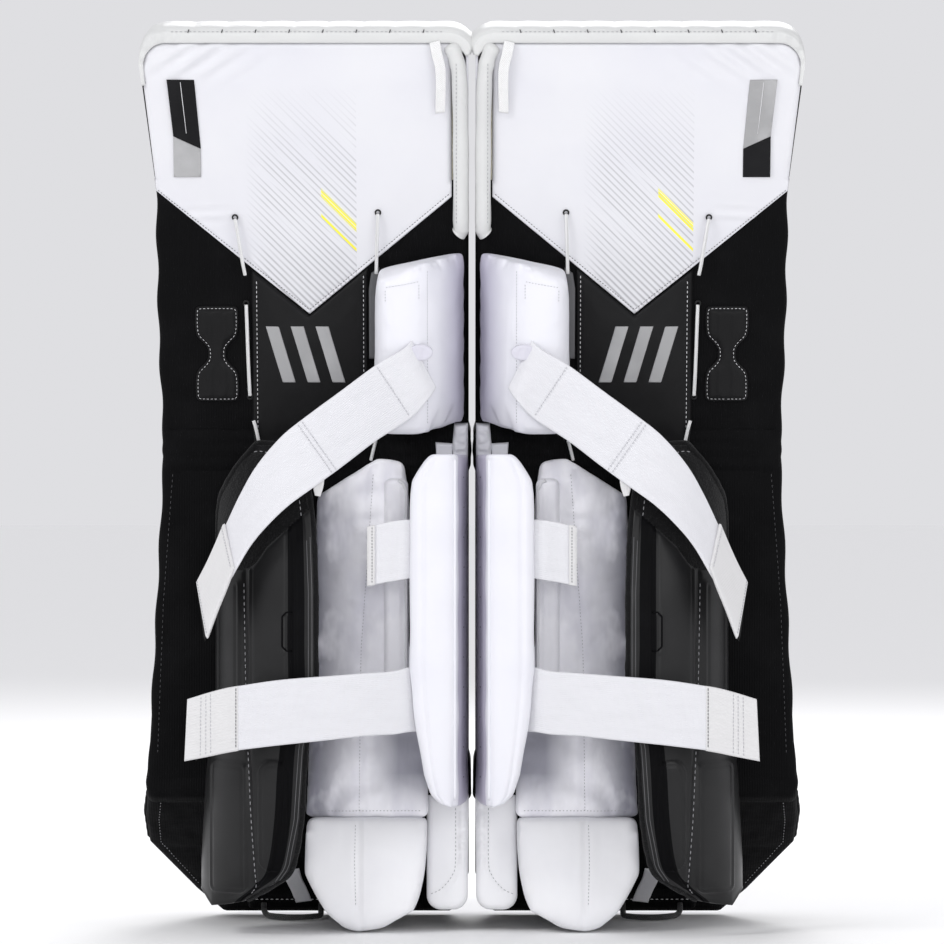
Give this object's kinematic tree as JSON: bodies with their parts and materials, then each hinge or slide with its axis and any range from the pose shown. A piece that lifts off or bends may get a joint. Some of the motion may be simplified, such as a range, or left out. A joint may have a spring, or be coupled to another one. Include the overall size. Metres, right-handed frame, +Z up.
{
  "type": "hockey goalie leg pads",
  "caption": "Pair of ice-hockey goalie leg pads that flex at the knee and boot, with padded calf wings, knee blocks, elastic straps and a toe cord.",
  "frame": {"origin": "on the floor, midway between the two pads, under the middle of the pair's box", "axes": "+Z up, from the boots to the tops; +Y towards the face that stops the puck, so the leg side faces -Y; +X from the left pad to the right pad"},
  "size_m": [0.566, 0.2918, 0.7679],
  "materials": {
    "core_foam": "matte",
    "stiffener": "matte",
    "face_leather": "satin",
    "smooth_white": "satin",
    "black_nylon": "matte",
    "black_leather": "satin",
    "liner_fabric": "matte",
    "white_elastic": "matte",
    "black_moulded": "satin",
    "label_print": "satin",
    "white_lace": "matte",
    "black_cord": "matte"
  },
  "bodies": {
    "left_thigh": {"left_thigh_core": "core_foam", "left_thigh_board": "stiffener", "left_thigh_face_cover": "face_leather", "left_thigh_back_cover": "smooth_white", "left_knee_back_cover": "black_nylon", "left_top_roll": "face_leather", "left_centre_panel": "black_leather", "left_tuning_laces": "white_lace", "left_size_label": "label_print", "left_knee_patch": "black_leather"},
    "left_shin": {"left_shin_core": "core_foam", "left_shin_board": "stiffener", "left_shin_face_cover": "face_leather", "left_shin_back_cover": "black_nylon", "left_calf_liner": "liner_fabric", "left_ankle_cover": "smooth_white"},
    "left_knee_block": {"left_knee_block_foam": "core_foam", "left_knee_block_cover": "smooth_white"},
    "left_knee_strap": {"left_knee_strap": "white_elastic", "left_knee_strap_tab": "white_elastic"},
    "left_inner_wing": {"left_inner_wing": "smooth_white"},
    "left_tab_strap": {"left_tab_strap": "white_elastic"},
    "left_calf_strap": {"left_calf_strap": "white_elastic", "left_calf_strap_tab": "white_elastic"},
    "left_outer_wing": {"left_outer_wing_shell": "black_moulded", "left_outer_wing_lining": "liner_fabric"},
    "left_boot": {"left_boot_core": "core_foam", "left_boot_cover": "face_leather", "left_toe_bridge": "black_nylon", "left_toe_cord": "black_cord"},
    "right_thigh": {"right_thigh_core": "core_foam", "right_thigh_board": "stiffener", "right_thigh_face_cover": "face_leather", "right_thigh_back_cover": "smooth_white", "right_knee_back_cover": "black_nylon", "right_top_roll": "face_leather", "right_centre_panel": "black_leather", "right_tuning_laces": "white_lace", "right_size_label": "label_print", "right_knee_patch": "black_leather"},
    "right_shin": {"right_shin_core": "core_foam", "right_shin_board": "stiffener", "right_shin_face_cover": "face_leather", "right_shin_back_cover": "black_nylon", "right_calf_liner": "liner_fabric", "right_ankle_cover": "smooth_white"},
    "right_knee_block": {"right_knee_block_foam": "core_foam", "right_knee_block_cover": "smooth_white"},
    "right_knee_strap": {"right_knee_strap": "white_elastic", "right_knee_strap_tab": "white_elastic"},
    "right_inner_wing": {"right_inner_wing": "smooth_white"},
    "right_tab_strap": {"right_tab_strap": "white_elastic"},
    "right_calf_strap": {"right_calf_strap": "white_elastic", "right_calf_strap_tab": "white_elastic"},
    "right_outer_wing": {"right_outer_wing_shell": "black_moulded", "right_outer_wing_lining": "liner_fabric"},
    "right_boot": {"right_boot_core": "core_foam", "right_boot_cover": "face_leather", "right_toe_bridge": "black_nylon", "right_toe_cord": "black_cord"}
  },
  "joints": [
    {"name": "pads_apart", "type": "slide", "parent": "left_shin", "child": "right_shin", "axis": [1, 0, 0], "range_m": [0, 0.2]},
    {"name": "left_thigh_flex", "type": "hinge", "parent": "left_shin", "child": "left_thigh", "pos_m": [-0.143, -0.0314, 0.408], "axis": [1, 0, 0], "range_deg": [-6, 6], "stiffness_Nm_per_rad": 60},
    {"name": "left_boot_flex", "type": "hinge", "parent": "left_shin", "child": "left_boot", "pos_m": [-0.143, -0.0314, 0.118], "axis": [1, 0, 0], "range_deg": [-5, 8], "stiffness_Nm_per_rad": 60},
    {"name": "left_knee_block_tilt", "type": "hinge", "parent": "left_thigh", "child": "left_knee_block", "pos_m": [-0.0035, -0.05718, 0.50475], "axis": [0, -0.2079, 0.9781], "range_deg": [0, 20], "stiffness_Nm_per_rad": 4},
    {"name": "left_knee_strap_swing", "type": "hinge", "parent": "left_knee_block", "child": "left_knee_strap", "pos_m": [-0.045, -0.12465, 0.4735], "axis": [-0.431, -0.1832, 0.8836], "range_deg": [0, 60]},
    {"name": "left_inner_wing_swing", "type": "hinge", "parent": "left_shin", "child": "left_inner_wing", "pos_m": [-0.01, -0.0358, 0.258], "axis": [0, 0, -1], "range_deg": [-5, 3], "stiffness_Nm_per_rad": 6},
    {"name": "left_tab_strap_swing", "type": "hinge", "parent": "left_inner_wing", "child": "left_tab_strap", "pos_m": [-0.052, -0.1304, 0.32], "axis": [0, 0, 1], "range_deg": [0, 60]},
    {"name": "left_calf_strap_swing", "type": "hinge", "parent": "left_inner_wing", "child": "left_calf_strap", "pos_m": [-0.054, -0.1304, 0.199], "axis": [0, 0, 1], "range_deg": [0, 80]},
    {"name": "left_outer_wing_swing", "type": "hinge", "parent": "left_shin", "child": "left_outer_wing", "pos_m": [-0.227, -0.0358, 0.2], "axis": [0, 0, -1], "range_deg": [-20, 4], "stiffness_Nm_per_rad": 6},
    {"name": "right_thigh_flex", "type": "hinge", "parent": "right_shin", "child": "right_thigh", "pos_m": [0.143, -0.0314, 0.408], "axis": [1, 0, 0], "range_deg": [-6, 6], "stiffness_Nm_per_rad": 60},
    {"name": "right_boot_flex", "type": "hinge", "parent": "right_shin", "child": "right_boot", "pos_m": [0.143, -0.0314, 0.118], "axis": [1, 0, 0], "range_deg": [-5, 8], "stiffness_Nm_per_rad": 60},
    {"name": "right_knee_block_tilt", "type": "hinge", "parent": "right_thigh", "child": "right_knee_block", "pos_m": [0.0035, -0.05718, 0.50475], "axis": [0, 0.2079, -0.9781], "range_deg": [0, 20], "stiffness_Nm_per_rad": 4},
    {"name": "right_knee_strap_swing", "type": "hinge", "parent": "right_knee_block", "child": "right_knee_strap", "pos_m": [0.045, -0.12465, 0.4735], "axis": [-0.431, 0.1832, -0.8836], "range_deg": [0, 60]},
    {"name": "right_inner_wing_swing", "type": "hinge", "parent": "right_shin", "child": "right_inner_wing", "pos_m": [0.01, -0.0358, 0.258], "axis": [0, 0, 1], "range_deg": [-5, 3], "stiffness_Nm_per_rad": 6},
    {"name": "right_tab_strap_swing", "type": "hinge", "parent": "right_inner_wing", "child": "right_tab_strap", "pos_m": [0.052, -0.1304, 0.32], "axis": [0, 0, -1], "range_deg": [0, 60]},
    {"name": "right_calf_strap_swing", "type": "hinge", "parent": "right_inner_wing", "child": "right_calf_strap", "pos_m": [0.054, -0.1304, 0.199], "axis": [0, 0, -1], "range_deg": [0, 80]},
    {"name": "right_outer_wing_swing", "type": "hinge", "parent": "right_shin", "child": "right_outer_wing", "pos_m": [0.227, -0.0358, 0.2], "axis": [0, 0, 1], "range_deg": [-20, 4], "stiffness_Nm_per_rad": 6}
  ]
}
